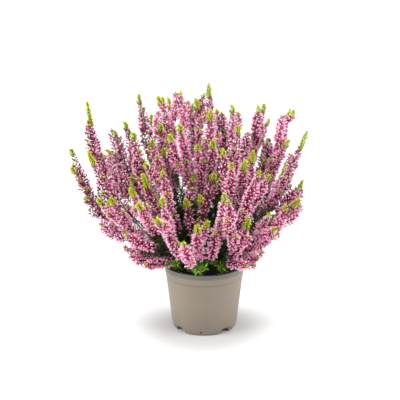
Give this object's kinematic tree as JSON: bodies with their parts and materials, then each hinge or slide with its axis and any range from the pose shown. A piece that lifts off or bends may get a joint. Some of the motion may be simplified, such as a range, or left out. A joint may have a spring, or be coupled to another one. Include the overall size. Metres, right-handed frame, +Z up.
{
  "type": "potted heather",
  "caption": "Flowering bud heather with upright pink spikes and green tips on forked leafy branches, rooted in peat in a round tapered nursery pot.",
  "frame": {"origin": "centre of the pot's base, on the surface that it stands on", "axes": "+Z up along the pot's axis, +X to the right and +Y to the back as seen from the side with the low front sprays"},
  "size_m": [0.312, 0.2421, 0.332],
  "materials": {
    "pot": "matt taupe moulded plastic",
    "peat": "moist black peat",
    "branch": "brown woody stems with dark green scale leaves",
    "floret": "pink closed florets",
    "fresh_leaf": "yellow-green young leaves"
  },
  "bodies": {
    "root": {"pot": "pot", "soil": "peat", "branch_01": "branch", "branch_02": "branch", "branch_03": "branch", "branch_04": "branch", "branch_05": "branch", "branch_06": "branch", "branch_07": "branch", "branch_08": "branch", "flower_spray_01": "floret", "flower_spray_02": "floret", "flower_spray_03": "floret", "flower_spray_04": "floret", "flower_spray_05": "floret", "flower_spray_06": "floret", "flower_spray_07": "floret", "flower_spray_08": "floret", "flower_spray_09": "floret", "flower_spray_10": "floret", "flower_spray_11": "floret", "flower_spray_12": "floret", "flower_spray_13": "floret", "flower_spray_14": "floret", "flower_spray_15": "floret", "flower_spray_16": "floret", "flower_spray_17": "floret", "flower_spray_18": "floret", "flower_spray_19": "floret", "flower_spray_20": "floret", "flower_spray_21": "floret", "flower_spray_22": "floret", "flower_spray_23": "floret", "flower_spray_24": "floret", "flower_spray_25": "floret", "flower_spray_26": "floret", "flower_spray_27": "floret", "flower_spray_28": "floret", "flower_spray_29": "floret", "flower_spray_30": "floret", "flower_spray_31": "floret", "flower_spray_32": "floret", "flower_spray_33": "floret", "flower_spray_34": "floret", "flower_spray_35": "floret", "flower_spray_36": "floret", "flower_spray_37": "floret", "flower_spray_38": "floret", "flower_spray_39": "floret", "flower_spray_40": "floret", "flower_spray_41": "floret", "flower_spray_42": "floret", "flower_spray_43": "floret", "flower_spray_44": "floret", "flower_spray_45": "floret", "flower_spray_46": "floret", "flower_spray_47": "floret", "fresh_shoot_01": "fresh_leaf", "fresh_shoot_02": "fresh_leaf", "fresh_shoot_03": "fresh_leaf"}
  },
  "joints": []
}
